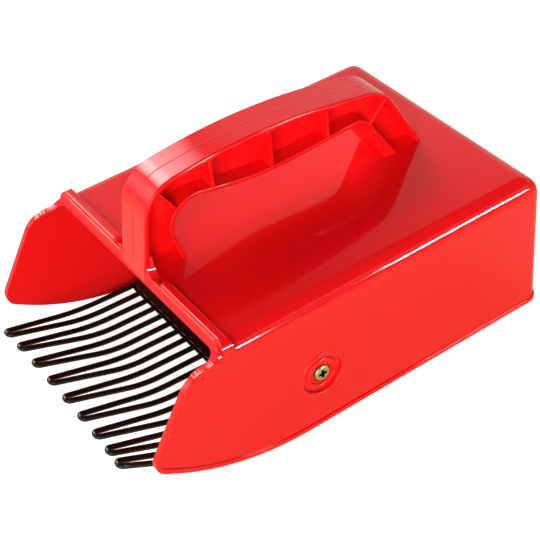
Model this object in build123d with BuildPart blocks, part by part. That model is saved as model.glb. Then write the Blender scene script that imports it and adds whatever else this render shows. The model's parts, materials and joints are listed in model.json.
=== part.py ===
from build123d import *
from math import cos, radians, sin, sqrt, tan
import os

os.makedirs("parts", exist_ok=True)

# Hopper: a thin-walled moulding, open below and in front
top_width = 140.0            # across the flat top, to its unrounded edges
body_height = 72.2           # rim to flat top
hopper_length = 177.5        # rear wall to front lip
wall = 2.5
draft = 0.15                 # the walls spread towards the rim, degrees
top_edge_radius = 8.5
rear_corner_radius = 6.5

# Cheeks and rim: the side walls run on past the lip, and a band stiffens their free edge
cheek_reach = 37.6           # lip to the cheek's front edge, at the tip's height
cheek_tip_height = 31.0
cheek_slant = 31.4           # front edge off the vertical, degrees
cheek_drop = 5.1             # cheek's upper edge below the flat top
cheek_tip_radius = 7.0
cheek_shoulder_radius = 14.0
lip_root_radius = 9.0        # cheek's upper edge into the lip
rim_flat_length = 138.2      # rim that rests on the ground, from the rear wall
rim_sweep_share = 0.4816     # part of the run ahead of the flat rim in which it turns up
rim_rise = 33.0              # rim towards the cheek tip, degrees
rim_band_height = 2.6
rim_band_stand = 0.7
rim_band_radius = 0.5        # outer edges

# Front lip: the top's sloped front edge, with a ridge behind it on each side of the handle
lip_tuck = 0.9               # lip's lower edge behind the lip line
ridge_stand = 2.2
ridge_slope = 16.6           # lip's face, and ridge's front, back and inner end, off the vertical, degrees
ridge_ledge = 0.4            # ridge's front behind the lip's face
ridge_top_width = 3.8
ridge_edge_radius = 0.8
ridge_nose_gap = 9.8         # handle's side to the ridge's rounded inner end, at the crest
ridge_nose_radius = 1.4      # corners of the inner end, at the crest
ridge_end_radius = 5.5       # ridge's crest down into the side walls

# Handle: an I-section arch with cross ribs
grip_width = 20.0
grip_apex_setback = 67.3     # lip to where the arch's two top lines would meet
grip_apex_height = 121.3
grip_rise = 6.8              # top line from the front leg, degrees
grip_fall = 9.9              # top line to the rear leg, degrees
front_leg_lean = 9.4         # degrees
front_foot_setback = 0.25    # lip line to the front leg's foot
rear_foot_setback = 22.4     # rear wall to the rear leg's outer foot
rear_leg_slope = 61.4        # outer face, degrees
front_leg_depth = 22.5       # lip to the back of the front leg, at the flat top
front_leg_taper = 15.2       # lean of the leg's back, degrees
grip_belly_setback = 65.6    # lip to the lowest point of the underside
grip_belly_height = 94.3
belly_front_slope = 11.1     # degrees
belly_rear_slope = 3.4
rear_leg_depth = 21.6        # along the flat top
rear_leg_inner_slope = 57.6  # degrees
front_bend_radius = 19.0
apex_radius = 270.0
rear_bend_radius = 20.0
front_inner_radius = 12.5
belly_radius = 150.0
rear_inner_radius = 9.0
outer_flange = 2.5
inner_flange = 2.2
rear_inner_flange = 5.5
web = 2.4
rib = 1.8
grip_edge_radius = 1.0
pocket_edge_radius = 0.5
rib_first_setback = 40.5     # lip to the first upright rib
rib_pitch = 30.8
rib_count = 3
front_rib_setback = 19.5     # lip to the middle of the front diagonal rib
front_rib_drop = 6.0         # its middle below halfway between the grip's apex and belly
front_rib_tilt = 34.0        # off the upright, degrees
rear_rib_setback = 46.4      # rear wall to the middle of the rear diagonal rib
rear_rib_drop = 7.9
rear_rib_tilt = -44.0
foot_flare = 9.0             # radius from the front leg's sides into the top

# Pivot screws, one each side, in a ringed dish
pivot_setback = 128.8        # rear wall to the pivot axis
pivot_height = 29.5
outer_ring_radius = 11.3
inner_ring_radius = 7.1
ring_bead_radius = 1.1
outer_ring_stand = 0.6
inner_ring_sink = 0.1
dish_depth = 1.2
head_recess_radius = 4.9
head_seat_depth = 1.8
boss_radius = 13.5
boss_depth = 1.8
screw_radius = 2.0
screw_clearance = 0.15
screw_tip = 0.8              # thread beyond the nut
head_radius = 4.0
head_height = 2.0
head_edge = 0.7              # straight side of the head below its dome
cross_width = 1.5
cross_span = 4.4
cross_depth = 1.5
bush_radius = 3.5
bush_clearance = 0.06
washer_radius = 7.0
washer_thickness = 1.0
nut_flats = 7.0
nut_height = 5.0
nut_collar_height = 1.4
nut_collar_radius = 3.1

# Floor: a tray bent from coated steel sheet, hung on the pivot screws
sheet = 1.0
floor_height = 3.4           # rim to the floor's underside
floor_reach = 152.3          # rear wall to the floor's front edge
floor_corner_radius = 5.5
floor_rear_radius = 7.0
floor_bend_radius = 1.0
floor_rear_gap = 0.6
side_play = 0.15
flange_setback = 7.0         # floor's front edge to the foot of the side flange
flange_height = 10.0
ear_radius = 11.0
tail_height = 9.0            # upturned rear edge
stop_gap = 0.3
stop_depth = 4.0
stop_height = 3.0
stop_width = 26.0
stop_spread = 80.0

# Comb: hairpins of coated wire across the floor's front edge
tine_count = 9
wire = 2.7
comb_side_gap = 1.7          # outermost wires to the tray's flanges
tine_bend_pitch = 7.6        # leg to leg at the bend
tine_tip_pitch = 3.8         # leg to leg at the hairpin's end
tine_overhang = 10.1         # outermost tips beyond the cheeks
tine_bow = 2.2               # middle tip behind the outermost ones
tine_root = 9.5              # leg lying on the floor
tine_run = 31.8              # floor's front edge to the bend
tine_start = 2.2             # rise ahead of the floor, degrees
tine_rise = 17.8             # rise beyond the bend at the middle hairpin, degrees
tine_dish = 4.3              # the outermost hairpins rise more by this, degrees
tine_bend_radius = 65.0
tine_lean = 5.75             # outermost tips inwards of their roots
lean_power = 4               # how fast the lean fades towards the middle
comb_bar_width = 10.0
comb_bar_thickness = 1.0
comb_bar_margin = 4.0

overall_length = rim_band_stand + hopper_length + cheek_reach + tine_overhang
rear_y = overall_length / 2 - rim_band_stand
lip_y = rear_y - hopper_length
cheek_y = lip_y - cheek_reach
pivot_y = rear_y - pivot_setback
floor_front_y = rear_y - floor_reach
spread = tan(radians(draft))
rim_width = top_width + 2 * body_height * spread
beyond = 2 * wall            # tools and cuts run past the faces by this much
sky = grip_apex_height + beyond


def hopper_block(grow, edge_radius, corner_radius):
    """Drafted block of the hopper's outer size, grown or shrunk on every side but the rim."""
    with BuildPart() as block:
        with BuildSketch():
            with Locations((0, rear_y + grow)):
                Rectangle(rim_width + 2 * grow, overall_length, align=(Align.CENTER, Align.MAX))
        extrude(amount=body_height + grow, taper=draft)
        rear_edges = block.faces().sort_by(Axis.Y)[-1].edges().sort_by(Axis.X)
        fillet([rear_edges[0], rear_edges[-1]], corner_radius)
        top_face = block.faces().sort_by(Axis.Z)[-1]
        fillet(top_face.edges().sort_by(Axis.Y)[1:], edge_radius)
    return block.part


# Side view of the hopper: flat rim, sweep up to the cheek tip, slanted front edge, shoulder and lip
lip_z = body_height - wall
lip_edge_y = lip_y + lip_tuck
crest_z = body_height + ridge_stand
lip_run = tan(radians(ridge_slope))
rim_sweep_run = rim_sweep_share * (hopper_length + cheek_reach - rim_flat_length)
rim_sweep_radius = rim_sweep_run / tan(radians(rim_rise / 2))
knee_y = rear_y - rim_flat_length - rim_sweep_run
slant_run = tan(radians(cheek_slant))
rise_run = tan(radians(rim_rise))
tip_z = (knee_y - cheek_y + cheek_tip_height * slant_run) * rise_run / (1 + slant_run * rise_run)
cheek_top = body_height - cheek_drop
side_points = [
    (rear_y + beyond, 0),
    (knee_y, 0),
    (cheek_y + (tip_z - cheek_tip_height) * slant_run, tip_z),
    (cheek_y + (cheek_top - cheek_tip_height) * slant_run, cheek_top),
    (lip_edge_y + (cheek_top - lip_z) * lip_run, cheek_top),
    (lip_edge_y + (sky - lip_z) * lip_run, sky),
    (rear_y + beyond, sky),
]
# The rounding at the lip is limited by what the shoulder leaves of the cheek's upper edge
cheek_top_run = side_points[4][0] - side_points[3][0]
shoulder_run = cheek_shoulder_radius * tan(radians((90 - cheek_slant) / 2))
root_limit = 0.95 * (cheek_top_run - shoulder_run) / tan(radians((90 - ridge_slope) / 2))
root_radius = min(lip_root_radius, root_limit)
side_radii = [0, rim_sweep_radius, cheek_tip_radius, cheek_shoulder_radius, root_radius, 0, 0]
with BuildSketch(Plane.YZ) as side_view:
    with BuildLine():
        FilletPolyline(*side_points, radius=side_radii, close=True)
    make_face()

hopper_outer = hopper_block(0, top_edge_radius, rear_corner_radius)
hopper_inner = hopper_block(-wall, top_edge_radius - wall, rear_corner_radius - wall)
hopper_band = hopper_block(rim_band_stand, top_edge_radius, rear_corner_radius + rim_band_stand)

# Band along the free edge of the side and rear walls, with rounded outer edges
corner_y = rear_y - rear_corner_radius - wall
with BuildPart() as rim_band:
    add(hopper_band)
    with BuildSketch(Plane.YZ):
        add(side_view.sketch_local)
        offset(side_view.sketch_local, amount=-rim_band_height, mode=Mode.SUBTRACT)
    extrude(amount=rim_width, both=True, mode=Mode.INTERSECT)
    outer_edges = []
    for edge in rim_band.edges():
        middle = edge @ 0.5
        if middle.Y > corner_y:
            is_outer = middle.Z < body_height / 2 and abs((edge % 0.5).Z) < 0.5
        else:
            is_outer = abs(middle.X) > top_width / 2 and middle.Z < cheek_top - top_edge_radius
        if is_outer:
            outer_edges.append(edge)
    fillet(outer_edges, rim_band_radius)
    add(hopper_inner, mode=Mode.SUBTRACT)

# Ridges: bars along the lip with sloped sides, which fall away over the rounded edges of the top
ridge_crest_y = lip_edge_y + ridge_ledge + (crest_z - lip_z) * lip_run
ridge_inner_x = grip_width / 2 + ridge_nose_gap
with BuildPart() as ridges:
    for depth in (ridge_stand + top_edge_radius, 0):
        swell = depth * lip_run
        with BuildSketch(Plane.XY.offset(crest_z - depth)) as ridge_plan:
            with Locations((ridge_inner_x - swell, ridge_crest_y - swell)):
                Rectangle(rim_width / 2, ridge_top_width + 2 * swell, align=(Align.MIN, Align.MIN))
            fillet(ridge_plan.vertices().group_by(Axis.X)[0], ridge_nose_radius + swell)
    loft(ruled=True)
    crest_edges = ridges.faces().sort_by(Axis.Z)[-1].edges().sort_by(Axis.X)
    fillet(crest_edges[:-1], ridge_edge_radius)
    with BuildSketch(Plane.XZ):
        with BuildLine():
            crest_half = top_width / 2 - ridge_stand * spread
            FilletPolyline(
                (-rim_width / 2, 0),
                (-crest_half, crest_z),
                (crest_half, crest_z),
                (rim_width / 2, 0),
                radius=[0, ridge_end_radius, ridge_end_radius, 0],
                close=True,
            )
        make_face()
    extrude(amount=overall_length, both=True, mode=Mode.INTERSECT)
    add(hopper_inner, mode=Mode.SUBTRACT)
    mirror(about=Plane.YZ)


def inset(points, depths):
    """Corners of a clockwise outline with each side moved inwards by its own depth."""
    moved = []
    for number, (y, z) in enumerate(points):
        y0, z0 = points[number - 1]
        y1, z1 = points[(number + 1) % len(points)]
        u = Vector(y - y0, z - z0).normalized()
        v = Vector(y1 - y, z1 - z).normalized()
        shift = (u * depths[number] - v * depths[number - 1]) / (u.X * v.Y - u.Y * v.X)
        moved.append((y + shift.X, z + shift.Y))
    return moved


def crossing(point, angle, other, other_angle):
    """Where two lines meet, each given by a point and its angle in the side view, in degrees."""
    u = Vector(cos(radians(angle)), sin(radians(angle)))
    v = Vector(cos(radians(other_angle)), sin(radians(other_angle)))
    gap = Vector(*other) - Vector(*point)
    reach = (gap.X * v.Y - gap.Y * v.X) / (u.X * v.Y - u.Y * v.X)
    return point[0] + reach * u.X, point[1] + reach * u.Y


# Handle: side view of the arch, then pockets on both sides that leave flanges, web and ribs
apex = (lip_y + grip_apex_setback, grip_apex_height)
belly = (lip_y + grip_belly_setback, grip_belly_height)
front_foot = (lip_y + front_foot_setback, lip_z)
front_inner_foot = (lip_y + front_leg_depth, body_height)
rear_foot = (rear_y - rear_foot_setback, body_height)
rear_inner_foot = (rear_foot[0] - rear_leg_depth, body_height)
front_angle = 90 - front_leg_lean
front_inner_angle = 90 + front_leg_taper
rear_angle = 180 - rear_leg_slope
rear_inner_angle = 180 - rear_leg_inner_slope
sole = ((0, body_height - outer_flange), 0)
arch_points = [
    crossing(front_foot, front_angle, *sole),
    crossing(front_foot, front_angle, apex, grip_rise),
    apex,
    crossing(rear_foot, rear_angle, apex, -grip_fall),
    crossing(rear_foot, rear_angle, *sole),
    crossing(rear_inner_foot, rear_inner_angle, *sole),
    crossing(rear_inner_foot, rear_inner_angle, belly, belly_rear_slope),
    belly,
    crossing(front_inner_foot, front_inner_angle, belly, -belly_front_slope),
    crossing(front_inner_foot, front_inner_angle, *sole),
]
arch_radii = [
    0, front_bend_radius, apex_radius, rear_bend_radius, 0,
    0, rear_inner_radius, belly_radius, front_inner_radius, 0,
]
arch_depths = [
    outer_flange, outer_flange, outer_flange, outer_flange, outer_flange,
    rear_inner_flange, inner_flange, inner_flange, inner_flange, outer_flange,
]
pocket_radii = [
    0, front_bend_radius - outer_flange, apex_radius - outer_flange, rear_bend_radius - outer_flange, 0,
    0, rear_inner_radius + inner_flange, belly_radius + inner_flange, front_inner_radius + inner_flange, 0,
]
rib_length = grip_apex_height - body_height
grip_middle = (grip_apex_height + grip_belly_height) / 2
with BuildSketch(Plane.YZ.offset(-grip_width / 2)) as arch_view:
    with BuildLine():
        FilletPolyline(*arch_points, radius=arch_radii, close=True)
    make_face()
with BuildSketch(Plane.YZ.offset(web / 2)) as pocket_view:
    with BuildLine():
        FilletPolyline(*inset(arch_points, arch_depths), radius=pocket_radii, close=True)
    make_face()
    for number in range(rib_count):
        with Locations((lip_y + rib_first_setback + number * rib_pitch, grip_apex_height)):
            Rectangle(rib, rib_length, mode=Mode.SUBTRACT)
    with Locations((lip_y + front_rib_setback, grip_middle - front_rib_drop)):
        Rectangle(rib, rib_length / 2, rotation=front_rib_tilt, mode=Mode.SUBTRACT)
    with Locations((rear_y - rear_rib_setback, grip_middle - rear_rib_drop)):
        Rectangle(rib, rib_length / 2, rotation=rear_rib_tilt, mode=Mode.SUBTRACT)
with BuildPart() as pocket:
    extrude(pocket_view.sketch, amount=grip_width)
    mirror(about=Plane.YZ)
with BuildPart() as handle:
    extrude(arch_view.sketch, amount=grip_width)
    fillet(handle.faces().filter_by(Axis.X).edges(), grip_edge_radius)
    add(pocket.part, mode=Mode.SUBTRACT)
    sides = handle.faces().sort_by(Axis.X)
    fillet(sides[0].inner_wires().edges() + sides[-1].inner_wires().edges(), pocket_edge_radius)

# Flare: the front leg's sides spread into the top between the two ridges
leg_run = tan(radians(front_leg_lean))
flare_steps = 6
flare_sink = 0.2             # its ends lie this far inside the top
with BuildPart() as flare:
    for step in range(flare_steps + 1):
        away = foot_flare * step / flare_steps
        swell = foot_flare - sqrt(foot_flare**2 - (foot_flare - away) ** 2)
        share = swell / foot_flare
        top_z = body_height + swell - flare_sink
        leg_y = front_foot[0] + (top_z - lip_z) * leg_run
        foot_y = share * front_foot[0] + (1 - share) * lip_edge_y + flare_sink
        edge_y = share * leg_y + (1 - share) * (lip_edge_y + (top_z - lip_z) * lip_run) + flare_sink
        with BuildSketch(Plane.YZ.offset(grip_width / 2 - grip_edge_radius + away)):
            with BuildLine():
                Polyline(
                    (foot_y, lip_z + flare_sink),
                    (edge_y, top_z),
                    (edge_y + ridge_top_width, top_z),
                    (ridge_crest_y + ridge_top_width, lip_z + flare_sink),
                    close=True,
                )
            make_face()
    loft(ruled=True)
    mirror(about=Plane.YZ)

# Places across the width at the pivot: outer face, seat of the screw head, boss and tray flange
side_x = top_width / 2 + (body_height - pivot_height) * spread
dish_x = side_x - dish_depth
seat_x = side_x - head_seat_depth
boss_x = side_x - wall - boss_depth
flange_x = boss_x - side_play
bush_x = flange_x - sheet - side_play
washer_x = bush_x - washer_thickness
nut_x = washer_x - nut_height
pivot_axis = Axis((0, pivot_y, pivot_height), (1, 0, 0))
pivot_plane = Plane.XZ.offset(-pivot_y)
pivot_face = Plane(origin=(0, pivot_y, pivot_height), x_dir=(0, 1, 0), z_dir=(1, 0, 0))

# Boss inside and rings outside, and the dish with the head's recess that is cut from them
with BuildPart() as pivot_boss:
    with BuildSketch(pivot_face.offset(boss_x)):
        Circle(boss_radius)
    extrude(amount=side_x - wall / 2 - boss_x)
    mirror(about=Plane.YZ)
with BuildPart() as pivot_dish:
    with BuildSketch(pivot_face.offset(dish_x)):
        Circle(outer_ring_radius)
    extrude(amount=beyond)
    mirror(about=Plane.YZ)
with BuildPart() as pivot_rings:
    with BuildSketch(pivot_plane):
        with Locations((side_x + outer_ring_stand - ring_bead_radius, pivot_height + outer_ring_radius)):
            Circle(ring_bead_radius)
        with Locations((side_x - inner_ring_sink - ring_bead_radius, pivot_height + inner_ring_radius)):
            Circle(ring_bead_radius)
    revolve(axis=pivot_axis)
    mirror(about=Plane.YZ)
with BuildPart() as pivot_hole:
    with BuildSketch(pivot_face.offset(seat_x)):
        Circle(head_recess_radius)
    extrude(amount=beyond)
    with BuildSketch(pivot_face.offset(boss_x - beyond)):
        Circle(screw_radius + screw_clearance)
    extrude(amount=2 * beyond)
    mirror(about=Plane.YZ)

# Body shell: hopper, lip and handle in one moulding, with stops for the tray in its rear wall
tail_y = rear_y - wall - floor_rear_gap
stop_z = floor_height + tail_height + stop_gap
with BuildPart() as body_shell:
    add(hopper_outer)
    extrude(side_view.sketch, amount=rim_width, both=True, mode=Mode.INTERSECT)
    add(hopper_inner, mode=Mode.SUBTRACT)
    add(rim_band.part)
    add(ridges.part)
    add(handle.part)
    add(flare.part)
    add(pivot_boss.part)
    add(pivot_dish.part, mode=Mode.SUBTRACT)
    add(pivot_rings.part)
    add(pivot_hole.part, mode=Mode.SUBTRACT)
    with GridLocations(stop_spread, 0, 2, 1):
        with Locations((0, rear_y - wall / 2, stop_z)):
            Box(stop_width, stop_depth + wall / 2, stop_height, align=(Align.CENTER, Align.MAX, Align.MIN))
body_shell.part.label = "body_shell"
export_step(body_shell.part, "parts/body_shell.step")

# Floor tray: channel section, trimmed to its side and plan views, with the rear edge turned up
ear_top = pivot_height + ear_radius
floor_top = floor_height + sheet
with BuildPart() as floor_tray:
    with BuildSketch(Plane.XZ.offset(-floor_front_y)):
        with BuildLine():
            outer_corner = floor_bend_radius + sheet
            FilletPolyline(
                (-flange_x, ear_top),
                (-flange_x, floor_height),
                (flange_x, floor_height),
                (flange_x, ear_top),
                radius=[0, outer_corner, outer_corner, 0],
                close=True,
            )
        make_face()
        with BuildLine():
            FilletPolyline(
                (sheet - flange_x, ear_top),
                (sheet - flange_x, floor_top),
                (flange_x - sheet, floor_top),
                (flange_x - sheet, ear_top),
                radius=[0, floor_bend_radius, floor_bend_radius, 0],
                close=True,
            )
        make_face(mode=Mode.SUBTRACT)
    extrude(amount=floor_front_y - tail_y)
    with BuildSketch(Plane.YZ) as flange_view:
        with Locations((floor_front_y, floor_height)):
            Rectangle(tail_y - floor_front_y, sheet, align=(Align.MIN, Align.MIN))
        with Locations((floor_front_y + flange_setback, floor_height)):
            Rectangle(tail_y - floor_front_y - flange_setback, flange_height, align=(Align.MIN, Align.MIN))
        with Locations((pivot_y, pivot_height)):
            Circle(ear_radius)
        with BuildLine():
            Polyline(
                (floor_front_y + flange_setback, floor_height),
                (pivot_y - ear_radius, pivot_height),
                (pivot_y + ear_radius, pivot_height),
                (pivot_y + pivot_height, floor_height),
                close=True,
            )
        make_face()
    extrude(amount=rim_width, both=True, mode=Mode.INTERSECT)
    with BuildSketch() as floor_plan:
        with Locations((0, tail_y)):
            Rectangle(2 * flange_x, tail_y - floor_front_y, align=(Align.CENTER, Align.MAX))
        fillet(floor_plan.vertices().group_by(Axis.Y)[0], floor_corner_radius)
        fillet(floor_plan.vertices().group_by(Axis.Y)[-1], floor_rear_radius)
    extrude(amount=sky, mode=Mode.INTERSECT)
    with Locations((0, tail_y, floor_height)):
        Box(2 * (flange_x - floor_rear_radius), sheet, tail_height, align=(Align.CENTER, Align.MAX, Align.MIN))
    with BuildSketch(pivot_face):
        Circle(bush_radius + bush_clearance)
    extrude(amount=rim_width, both=True, mode=Mode.SUBTRACT)
floor_tray.part.label = "floor_tray"
export_step(floor_tray.part, "parts/floor_tray.step")

# Tines: each hairpin lies on the floor, runs out nearly level, then rises and narrows to its closed end
wire_z = floor_top + wire / 2
leg_pitch = (flange_x - sheet - comb_side_gap - wire / 2) / (tine_count - 0.5)
leave_y = floor_front_y - wire
bend_y = floor_front_y - tine_run
bend_z = wire_z + (leave_y - bend_y) * tan(radians(tine_start))
for number in range(tine_count):
    place = number - (tine_count - 1) / 2
    share = place / ((tine_count - 1) / 2)
    root_x = 2 * leg_pitch * place
    end_x = root_x - tine_lean * share * abs(share) ** (lean_power - 1)
    end_y = (wire - overall_length) / 2 + tine_bow * (1 - share**2)
    end_z = bend_z + (bend_y - end_y) * tan(radians(tine_rise + tine_dish * share**2))
    hairpin = [
        (root_x + leg_pitch / 2, floor_front_y + tine_root, wire_z),
        (root_x + leg_pitch / 2, leave_y, wire_z),
        (root_x + tine_bend_pitch / 2, bend_y, bend_z),
        (end_x + tine_tip_pitch / 2, end_y, end_z),
        (end_x - tine_tip_pitch / 2, end_y, end_z),
        (root_x - tine_bend_pitch / 2, bend_y, bend_z),
        (root_x - leg_pitch / 2, leave_y, wire_z),
        (root_x - leg_pitch / 2, floor_front_y + tine_root, wire_z),
    ]
    end_radius = 0.48 * tine_tip_pitch
    bends = [tine_bend_radius, tine_bend_radius, end_radius, end_radius, tine_bend_radius, tine_bend_radius]
    with BuildPart() as tine:
        with BuildLine() as centre_line:
            FilletPolyline(*hairpin, radius=bends)
        with BuildSketch(Plane(origin=centre_line.line @ 0, z_dir=centre_line.line % 0)):
            Circle(wire / 2)
        sweep(path=centre_line.line)
    tine.part.label = f"tine_{number + 1}"
    export_step(tine.part, f"parts/tine_{number + 1}.step")

# Comb bar: a strip across the wires over the floor's front edge
with BuildPart() as comb_bar:
    with BuildSketch(Plane.XY.offset(floor_top + wire)) as strip:
        with Locations((0, floor_front_y)):
            Rectangle(2 * (flange_x - comb_bar_margin), comb_bar_width, align=(Align.CENTER, Align.MIN))
        fillet(strip.vertices().group_by(Axis.Y)[0], floor_corner_radius)
    extrude(amount=comb_bar_thickness)
comb_bar.part.label = "comb_bar"
export_step(comb_bar.part, "parts/comb_bar.step")

# Pivot hardware: screw, sleeve, washer and lock nut on each side
for side, word in ((1, "right"), (-1, "left")):
    outward = Plane(origin=(0, pivot_y, pivot_height), x_dir=(0, side, 0), z_dir=(side, 0, 0))
    with BuildPart() as pivot_screw:
        with BuildSketch(outward.offset(nut_x - screw_tip)):
            Circle(screw_radius)
        extrude(amount=seat_x - nut_x + screw_tip)
        with BuildSketch(outward.offset(seat_x)):
            Circle(head_radius)
        extrude(amount=head_height)
        crown = pivot_screw.faces().sort_by(Axis((0, 0, 0), (side, 0, 0)))[-1]
        fillet(crown.edges(), head_height - head_edge)
        with BuildSketch(outward.offset(seat_x + head_height)):
            Rectangle(cross_span, cross_width)
            Rectangle(cross_width, cross_span)
        extrude(amount=-cross_depth, mode=Mode.SUBTRACT)
    pivot_screw.part.label = f"pivot_screw_{word}"
    export_step(pivot_screw.part, f"parts/pivot_screw_{word}.step")

    with BuildPart() as pivot_bush:
        with BuildSketch(outward.offset(bush_x)):
            Circle(bush_radius)
            Circle(screw_radius + screw_clearance, mode=Mode.SUBTRACT)
        extrude(amount=boss_x - bush_x)
    pivot_bush.part.label = f"pivot_bush_{word}"
    export_step(pivot_bush.part, f"parts/pivot_bush_{word}.step")

    with BuildPart() as pivot_washer:
        with BuildSketch(outward.offset(washer_x)):
            Circle(washer_radius)
            Circle(screw_radius + screw_clearance, mode=Mode.SUBTRACT)
        extrude(amount=washer_thickness)
    pivot_washer.part.label = f"pivot_washer_{word}"
    export_step(pivot_washer.part, f"parts/pivot_washer_{word}.step")

    with BuildPart() as pivot_nut:
        with BuildSketch(outward.offset(washer_x)):
            RegularPolygon(nut_flats / 2, 6, major_radius=False)
        extrude(amount=nut_collar_height - nut_height)
        with BuildSketch(outward.offset(nut_x)):
            Circle(nut_collar_radius)
        extrude(amount=nut_collar_height)
        with BuildSketch(outward.offset(nut_x)):
            Circle(screw_radius)
        extrude(amount=nut_height, mode=Mode.SUBTRACT)
    pivot_nut.part.label = f"pivot_nut_{word}"
    export_step(pivot_nut.part, f"parts/pivot_nut_{word}.step")
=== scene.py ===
import json
from math import cos, radians, sin

import bmesh
import bpy
from mathutils import Matrix, Vector

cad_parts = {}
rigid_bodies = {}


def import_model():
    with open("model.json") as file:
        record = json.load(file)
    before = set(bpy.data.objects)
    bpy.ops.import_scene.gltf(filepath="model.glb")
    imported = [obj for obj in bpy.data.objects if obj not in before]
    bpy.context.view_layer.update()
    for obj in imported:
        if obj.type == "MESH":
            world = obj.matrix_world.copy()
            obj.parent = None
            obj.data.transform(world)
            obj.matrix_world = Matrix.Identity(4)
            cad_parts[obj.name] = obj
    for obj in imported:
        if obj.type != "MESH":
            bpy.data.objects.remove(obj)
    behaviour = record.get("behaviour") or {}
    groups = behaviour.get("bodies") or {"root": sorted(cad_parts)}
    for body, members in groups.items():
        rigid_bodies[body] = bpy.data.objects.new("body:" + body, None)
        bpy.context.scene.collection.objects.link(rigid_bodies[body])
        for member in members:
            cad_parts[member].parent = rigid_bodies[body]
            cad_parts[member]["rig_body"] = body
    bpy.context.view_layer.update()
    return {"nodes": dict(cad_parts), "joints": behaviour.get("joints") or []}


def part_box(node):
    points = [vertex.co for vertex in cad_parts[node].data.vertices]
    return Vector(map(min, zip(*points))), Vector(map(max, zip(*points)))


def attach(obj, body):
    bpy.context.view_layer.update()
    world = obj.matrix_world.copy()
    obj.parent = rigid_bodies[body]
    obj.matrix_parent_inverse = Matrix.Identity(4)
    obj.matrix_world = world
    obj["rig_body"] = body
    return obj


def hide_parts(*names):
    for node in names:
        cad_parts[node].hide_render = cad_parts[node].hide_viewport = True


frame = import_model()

# Body shell: hopper, cheeks, lip and handle, one injection moulding in glossy red plastic.
# The mould's polish leaves it mirror-smooth, with a faint waviness where the walls shrank
# and fine rub marks from use.


def new_group(name, inputs, outputs):
    """An empty shader node group with named sockets, and its input and output nodes."""
    group = bpy.data.node_groups.new(name, "ShaderNodeTree")
    for socket, default in inputs.items():
        made = group.interface.new_socket(socket, in_out="INPUT", socket_type="NodeSocketFloat")
        made.default_value = default
    for socket in outputs:
        group.interface.new_socket(socket, in_out="OUTPUT", socket_type="NodeSocketFloat")
    return group, group.nodes.new("NodeGroupInput"), group.nodes.new("NodeGroupOutput")


def noise(tree, coordinates, scale, detail):
    """A noise texture on the given coordinates; a socket or a number sets its scale."""
    node = tree.nodes.new("ShaderNodeTexNoise")
    node.inputs["Detail"].default_value = detail
    tree.links.new(coordinates, node.inputs["Vector"])
    if isinstance(scale, (int, float)):
        node.inputs["Scale"].default_value = scale
    else:
        tree.links.new(scale, node.inputs["Scale"])
    return node.outputs["Fac"]


def combine(tree, operation, first, second):
    """One Math node; each operand is a socket or a number."""
    node = tree.nodes.new("ShaderNodeMath")
    node.operation = operation
    for socket, value in zip(node.inputs, (first, second)):
        if isinstance(value, (int, float)):
            socket.default_value = value
        else:
            tree.links.new(value, socket)
    return node.outputs["Value"]


def ranged(tree, value, low, high, to_low, to_high):
    """A clamped Map Range node."""
    node = tree.nodes.new("ShaderNodeMapRange")
    for socket, number in zip(list(node.inputs)[1:5], (low, high, to_low, to_high)):
        socket.default_value = number
    tree.links.new(value, node.inputs["Value"])
    return node.outputs["Result"]


# Rub marks: a fine noise drawn out into lines in two directions, thinned out by a slow noise
rub_turns = (25, 118)
rub_stretch = (1.0, 0.03, 1.0)
rub_line_fade = (0.66, 0.74)
rub_patch_scale = 28.0
rub_patch_fade = (0.5, 0.7)
rub_detail = 2.0
rub_marks, rub_in, rub_out = new_group("rub_marks", {"Scale": 300.0, "Amount": 0.5}, ["Marks"])
rub_place = rub_marks.nodes.new("ShaderNodeTexCoord").outputs["Object"]
rub_lines = []
for turn in rub_turns:
    stretch = rub_marks.nodes.new("ShaderNodeMapping")
    stretch.inputs["Rotation"].default_value = (radians(turn), radians(turn / 2), radians(turn))
    stretch.inputs["Scale"].default_value = rub_stretch
    rub_marks.links.new(rub_place, stretch.inputs["Vector"])
    line = noise(rub_marks, stretch.outputs["Vector"], rub_in.outputs["Scale"], rub_detail)
    rub_lines.append(ranged(rub_marks, line, *rub_line_fade, 0.0, 1.0))
rub_slow = noise(rub_marks, rub_place, rub_patch_scale, rub_detail)
rub_patch = ranged(rub_marks, rub_slow, *rub_patch_fade, 0.0, 1.0)
rub_both = combine(rub_marks, "MAXIMUM", *rub_lines)
rub_thin = combine(rub_marks, "MULTIPLY", rub_both, rub_patch)
rub_faint = combine(rub_marks, "MULTIPLY", rub_thin, rub_in.outputs["Amount"])
rub_marks.links.new(rub_faint, rub_out.inputs["Marks"])


def new_material(name):
    """A node material with its Principled shader and the object's own coordinates."""
    material = bpy.data.materials.new(name)
    material.use_nodes = True
    tree = material.node_tree
    shader = tree.nodes["Principled BSDF"]
    place = tree.nodes.new("ShaderNodeTexCoord").outputs["Object"]
    return material, tree, shader, place


def two_tone(tree, factor, first, second):
    """A colour between two, by a mask; the first is a socket or three numbers."""
    node = tree.nodes.new("ShaderNodeMix")
    node.data_type = "RGBA"
    if isinstance(first, tuple):
        node.inputs["A"].default_value = (*first, 1.0)
    else:
        tree.links.new(first, node.inputs["A"])
    node.inputs["B"].default_value = (*second, 1.0)
    tree.links.new(factor, node.inputs["Factor"])
    return node.outputs["Result"]


def toned(tree, shader, place, scale, detail, first, second):
    """A base colour that drifts between two tones."""
    drift = noise(tree, place, scale, detail)
    tree.links.new(two_tone(tree, drift, first, second), shader.inputs["Base Color"])


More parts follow.
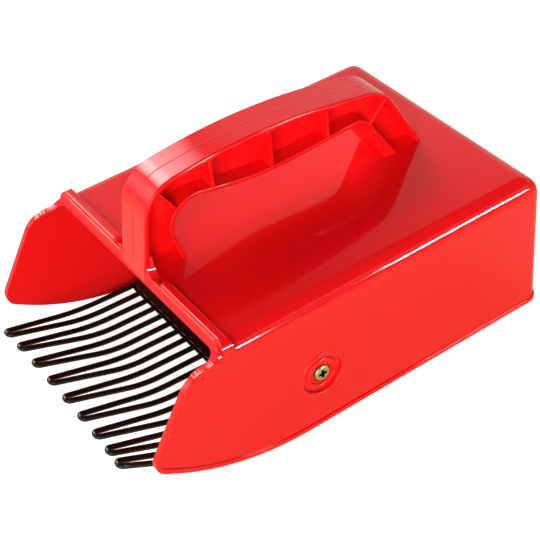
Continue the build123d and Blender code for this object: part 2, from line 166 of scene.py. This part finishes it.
def rubbed(tree, shader, place, scale, detail, fade, roughness, mark_scale, mark_amount, mark_roughness):
    """Roughness that drifts between two values and rises along rub marks, which are returned."""
    marks = tree.nodes.new("ShaderNodeGroup")
    marks.node_tree = rub_marks
    marks.inputs["Scale"].default_value = mark_scale
    marks.inputs["Amount"].default_value = mark_amount
    haze = ranged(tree, noise(tree, place, scale, detail), *fade, *roughness)
    haze.node.name = "haze"
    marked = combine(tree, "MULTIPLY", marks.outputs["Marks"], mark_roughness)
    tree.links.new(combine(tree, "ADD", haze, marked), shader.inputs["Roughness"])
    return marks.outputs["Marks"]


def bumped(tree, shader, height, depth):
    """Feeds a height, times a depth in metres, into the shader's normal."""
    node = tree.nodes.new("ShaderNodeBump")
    node.inputs["Distance"].default_value = depth
    tree.links.new(height, node.inputs["Height"])
    tree.links.new(node.outputs["Normal"], shader.inputs["Normal"])


red_plastic, tree, shader, place = new_material("red_plastic")
shader.inputs["IOR"].default_value = 1.49
light_red = (0.84, 0.0055, 0.0085)
deep_red = (0.79, 0.0045, 0.0075)
toned(tree, shader, place, scale=14.0, detail=3.0, first=light_red, second=deep_red)
red_marks = rubbed(
    tree, shader, place, scale=90.0, detail=4.0, fade=(0.35, 0.75), roughness=(0.05, 0.09),
    mark_scale=420.0, mark_amount=0.6, mark_roughness=0.12,
)
wave_scale = 38.0
wave_depth = 0.00006
mark_share = 0.02
red_wave = noise(tree, place, wave_scale, 1.0)
red_height = combine(tree, "SUBTRACT", red_wave, combine(tree, "MULTIPLY", red_marks, mark_share))

# Where the mould's two slides met, a fine raised line runs along the middle of the handle.
# Its height is given against the waves, and it fades out to the sides and at the handle's foot.
parting_share = 1.3
parting_fade = (0.0001, 0.0004)
parting_foot = (0.0746, 0.0752)
split = tree.nodes.new("ShaderNodeSeparateXYZ")
tree.links.new(place, split.inputs["Vector"])
off_middle = combine(tree, "ABSOLUTE", split.outputs["X"], 0.0)
parting_line = ranged(tree, off_middle, *parting_fade, parting_share, 0.0)
above_foot = ranged(tree, split.outputs["Z"], *parting_foot, 0.0, 1.0)
parting = combine(tree, "MULTIPLY", parting_line, above_foot)
bumped(tree, shader, combine(tree, "ADD", red_height, parting), wave_depth)

crease = radians(28)
merge_distance = 0.000002


def smooth_copy(node, material, sharp_angle):
    """A merged copy of a CAD node, smooth between its sharp edges, that stands for the node."""
    source = frame["nodes"][node]
    mesh = bpy.data.meshes.new(node + "_skin")
    skin = bmesh.new()
    skin.from_mesh(source.data)
    bmesh.ops.remove_doubles(skin, verts=skin.verts, dist=merge_distance)
    for face in skin.faces:
        face.smooth = True
        face.material_index = 0
    for edge in skin.edges:
        edge.smooth = len(edge.link_faces) == 2 and edge.calc_face_angle() < sharp_angle
    skin.to_mesh(mesh)
    skin.free()
    kept_normals = mesh.attributes.get("custom_normal")
    if kept_normals:
        mesh.attributes.remove(kept_normals)
    mesh.materials.append(material)
    piece = bpy.data.objects.new(node + "_skin", mesh)
    bpy.context.scene.collection.objects.link(piece)
    even = piece.modifiers.new("even_shading", "WEIGHTED_NORMAL")
    even.keep_sharp = True
    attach(piece, source["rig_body"])
    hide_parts(node)
    return piece


shell_skin = smooth_copy("body_shell", red_plastic, crease)

# The mould's core is not polished, so the faces inside the hopper and cheeks are matt.
# A box with its sides within the walls and the top picks them out, and thin strips of the
# rounded top edges with them.
core_roughness = (0.50, 0.54)
core_specular = 0.2
within_walls = Vector((0.0680, 0.1105, 0.0702))
core_plastic = red_plastic.copy()
core_plastic.name = "red_plastic_core"
core_nodes = core_plastic.node_tree.nodes
for socket, value in zip(("To Min", "To Max"), core_roughness):
    core_nodes["haze"].inputs[socket].default_value = value
core_nodes["Principled BSDF"].inputs["Specular IOR Level"].default_value = core_specular
shell_skin.data.materials.append(core_plastic)
for face in shell_skin.data.polygons:
    middle = face.center
    if abs(middle.x) < within_walls.x and middle.y < within_walls.y and middle.z < within_walls.z:
        face.material_index = 1

# Floor tray and comb bar: bent and punched steel sheet with a black powder coat.
# The coat is satin, with the fine pebble of baked powder, and hides the metal all over.
# The tray hangs on the pivot screws, and the bar holds the wires down on its front edge.
black_coat, tree, shader, place = new_material("black_coat")
toned(tree, shader, place, scale=60.0, detail=3.0, first=(0.006, 0.005, 0.005), second=(0.012, 0.010, 0.010))
rubbed(
    tree, shader, place, scale=150.0, detail=3.0, fade=(0.3, 0.7), roughness=(0.24, 0.36),
    mark_scale=500.0, mark_amount=0.7, mark_roughness=0.15,
)
pebble_scale = 1400.0
pebble_depth = 0.00004
bumped(tree, shader, noise(tree, place, pebble_scale, 2.0), pebble_depth)
for node in ("floor_tray", "comb_bar"):
    coated = smooth_copy(node, black_coat, crease)

# Tines: nine hairpins of spring wire, dipped in glossy black paint.
# The paint runs smooth along the wire, with slow swells where it flowed before it set.
black_dip, tree, shader, place = new_material("black_dip")
toned(tree, shader, place, scale=80.0, detail=2.0, first=(0.005, 0.005, 0.005), second=(0.010, 0.009, 0.009))
rubbed(
    tree, shader, place, scale=200.0, detail=3.0, fade=(0.3, 0.7), roughness=(0.12, 0.22),
    mark_scale=600.0, mark_amount=0.8, mark_roughness=0.2,
)
swell_scale = 450.0
swell_depth = 0.00006
bumped(tree, shader, noise(tree, place, swell_scale, 2.0), swell_depth)
wire_crease = radians(40)
for number in range(1, 10):
    tine = smooth_copy(f"tine_{number}", black_dip, wire_crease)

# Pivot screws: cross-recess pan heads in steel with yellow zinc plating.
# The passivation shifts between gold and green, and the cross recess is painted nearly black as shade.
yellow_zinc, tree, shader, place = new_material("yellow_zinc")
shader.inputs["Metallic"].default_value = 1.0
zinc_scale = 420.0
zinc_fade = (0.4, 0.6)
gold = (0.78, 0.70, 0.33)
green_gold = (0.62, 0.66, 0.34)
# Painted shade for the cross recess: a nearly black base colour
recess_shade = (0.025, 0.022, 0.016)
zinc_drift = ranged(tree, noise(tree, place, zinc_scale, 2.0), *zinc_fade, 0.0, 1.0)
zinc_tone = two_tone(tree, zinc_drift, gold, green_gold)
recess = tree.nodes.new("ShaderNodeAttribute")
recess.attribute_name = "recess"
tree.links.new(two_tone(tree, recess.outputs["Fac"], zinc_tone, recess_shade), shader.inputs["Base Color"])
rubbed(
    tree, shader, place, scale=1500.0, detail=3.0, fade=(0.3, 0.7), roughness=(0.2, 0.36),
    mark_scale=2500.0, mark_amount=1.0, mark_roughness=0.2,
)
plating_scale = 3000.0
metal_grain_depth = 0.00002
bumped(tree, shader, noise(tree, place, plating_scale, 2.0), metal_grain_depth)
crown_skin, cross_depth, cross_reach = 0.0001, 0.0017, 0.0025
_, pivot_y, pivot_z = frame["joints"][0]["pos_m"]
for side in ("right", "left"):
    screw = smooth_copy(f"pivot_screw_{side}", yellow_zinc, crease)
    crown = max(abs(corner.x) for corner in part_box(f"pivot_screw_{side}"))
    # Faces sunk in the cross recess are marked, and get the painted shade instead of the zinc colour
    recess_shading = screw.data.attributes.new("recess", "FLOAT", "FACE")
    for face in screw.data.polygons:
        middle = face.center
        off_axis = Vector((middle.y - pivot_y, middle.z - pivot_z)).length
        sunk = crown - abs(middle.x)
        in_cross = crown_skin < sunk < cross_depth and off_axis < cross_reach
        recess_shading.data[face.index].value = 1.0 if in_cross else 0.0

# Sleeves, washers and lock nuts: bright steel, turned and stamped, on the screws inside the hopper.
# Fine turning marks give them a soft sheen.
bright_steel, tree, shader, place = new_material("bright_steel")
shader.inputs["Metallic"].default_value = 1.0
toned(tree, shader, place, scale=500.0, detail=3.0, first=(0.62, 0.61, 0.60), second=(0.50, 0.50, 0.50))
rubbed(
    tree, shader, place, scale=1800.0, detail=3.0, fade=(0.3, 0.7), roughness=(0.24, 0.4),
    mark_scale=2500.0, mark_amount=1.0, mark_roughness=0.2,
)
turning_scale = 3500.0
bumped(tree, shader, noise(tree, place, turning_scale, 2.0), metal_grain_depth)
for side in ("right", "left"):
    for name in ("bush", "washer", "nut"):
        fitting = smooth_copy(f"pivot_{name}_{side}", bright_steel, crease)

# Studio: a white floor in a dim tent, with a large warm light low in front on the right, a smaller one
# high on the left, a weak one in front on the left, and two windows behind on the right.
# The floor lies a hair below the rim, and glossy sides mirror it in a warm tone.
floor_reach = 6.0
floor_drop = 0.0001
floor_mesh = bpy.data.meshes.new("studio_floor")
sheet = bmesh.new()
bmesh.ops.create_grid(sheet, x_segments=1, y_segments=1, size=floor_reach)
bmesh.ops.translate(sheet, verts=sheet.verts, vec=(0.0, 0.0, -floor_drop))
sheet.to_mesh(floor_mesh)
sheet.free()
floor = bpy.data.objects.new("studio_floor", floor_mesh)
bpy.context.scene.collection.objects.link(floor)
floor_paint, tree, shader, place = new_material("floor_paint")
shader.inputs["Roughness"].default_value = 0.9
shader.inputs["Specular IOR Level"].default_value = 0.0
toned(tree, shader, place, scale=3.0, detail=2.0, first=(0.52, 0.50, 0.48), second=(0.54, 0.52, 0.50))
white = (1.0, 1.0, 1.0)
floor_warmth = (1.0, 0.97, 0.5)
seen_glow = 0.88
mirrored_glow = 0.25
rays = tree.nodes.new("ShaderNodeLightPath")
floor_tint = two_tone(tree, rays.outputs["Is Camera Ray"], floor_warmth, white)
tree.links.new(floor_tint, shader.inputs["Emission Color"])
floor_seen = combine(tree, "MULTIPLY", rays.outputs["Is Camera Ray"], seen_glow)
floor_mirrored = combine(tree, "MULTIPLY", rays.outputs["Is Glossy Ray"], mirrored_glow)
tree.links.new(combine(tree, "ADD", floor_seen, floor_mirrored), shader.inputs["Emission Strength"])
floor_mesh.materials.append(floor_paint)

tent = bpy.data.worlds.new("light_tent")
tent.use_nodes = True
tree = tent.node_tree
heading = tree.nodes.new("ShaderNodeTexCoord").outputs["Generated"]


def towards(direction):
    """How far a ray's heading agrees with a direction, from -1 to 1."""
    node = tree.nodes.new("ShaderNodeVectorMath")
    node.operation = "DOT_PRODUCT"
    node.inputs[1].default_value = direction
    tree.links.new(heading, node.inputs[0])
    return node.outputs["Value"]


def soft_light(azimuth, height, inner, outer, strength):
    """Light that fades between two angles from its middle; all angles in degrees."""
    turn, rise = radians(azimuth), radians(height)
    agreement = towards((cos(rise) * cos(turn), cos(rise) * sin(turn), sin(rise)))
    return ranged(tree, agreement, cos(radians(outer)), cos(radians(inner)), 0.0, strength)


# The tent's wall is brighter on the left and at the back, and ends at a soft edge below its dark roof
wall_end = (0.57, 0.67)
wall_bright_side = (-0.82, 0.57, 0.0)
wall_fade = (-0.3, 0.6)
wall_strength = (0.2, 0.68)
roof_strength = 0.07
split = tree.nodes.new("ShaderNodeSeparateXYZ")
tree.links.new(heading, split.inputs["Vector"])
wall_share = ranged(tree, split.outputs["Z"], *wall_end, 1.0, 0.0)
wall_light = ranged(tree, towards(wall_bright_side), *wall_fade, *wall_strength)
tent_light = combine(tree, "ADD", combine(tree, "MULTIPLY", wall_light, wall_share), roof_strength)
left_light = soft_light(azimuth=-178, height=42, inner=3, outer=19, strength=10.6)
front_light = soft_light(azimuth=-125, height=30, inner=10, outer=26, strength=2.0)
for light in (left_light, front_light):
    tent_light = combine(tree, "ADD", light, tent_light)
white_light = tree.nodes["Background"]
white_light.inputs["Color"].default_value = (*white, 1.0)
tree.links.new(tent_light, white_light.inputs["Strength"])

# The warm light comes through a diffuser, so mirror-smooth faces show little of it
warm_tint = (1.0, 0.96, 0.76)
warm_mirrored = 0.15
warm_light = tree.nodes.new("ShaderNodeBackground")
warm_light.inputs["Color"].default_value = (*warm_tint, 1.0)
mirrored = tree.nodes.new("ShaderNodeLightPath").outputs["Is Glossy Ray"]
warm_share = ranged(tree, mirrored, 0.0, 1.0, 1.0, warm_mirrored)
right_light = soft_light(azimuth=-40, height=11, inner=10, outer=26, strength=11.9)
tree.links.new(combine(tree, "MULTIPLY", right_light, warm_share), warm_light.inputs["Strength"])
both_lights = tree.nodes.new("ShaderNodeAddShader")
for light, socket in zip((white_light, warm_light), both_lights.inputs):
    tree.links.new(light.outputs["Background"], socket)
tree.links.new(both_lights.outputs["Shader"], tree.nodes["World Output"].inputs["Surface"])
bpy.context.scene.world = tent


def window(name, place, target, width, height, power):
    """A rectangular area light at a place, turned to face a target, that only glossy faces mirror."""
    data = bpy.data.lights.new(name, "AREA")
    data.shape = "RECTANGLE"
    data.size = width
    data.size_y = height
    data.energy = power
    lamp = bpy.data.objects.new(name, data)
    lamp.location = place
    lamp.rotation_euler = (Vector(place) - Vector(target)).to_track_quat("Z", "Y").to_euler()
    lamp.visible_diffuse = False
    bpy.context.scene.collection.objects.link(lamp)


centre = (0.0, 0.0, 0.06)
window("window_rear", (1.11, 0.735, 0.54), centre, width=0.22, height=0.18, power=6.2)
window("window_front", (1.24, 0.385, 0.54), centre, width=0.12, height=0.18, power=3.4)

# Camera: a long lens in front on the right, well above the handle and turned a little on its axis
camera_data = bpy.data.cameras.new("photo_camera")
camera_data.lens = 91.58
camera_data.sensor_width = 36.0
camera = bpy.data.objects.new("photo_camera", camera_data)
camera_right = Vector((0.571124, 0.816448, -0.085033))
camera_up = Vector((-0.495875, 0.425706, 0.756890))
camera_back = Vector((0.654160, -0.390112, 0.647987))
camera_place = Vector((0.427504, -0.250519, 0.455011))
camera_turn = Matrix((camera_right, camera_up, camera_back)).transposed().to_4x4()
camera.matrix_world = Matrix.Translation(camera_place) @ camera_turn
bpy.context.scene.collection.objects.link(camera)
bpy.context.scene.camera = camera
bpy.context.scene.view_settings.view_transform = "Standard"
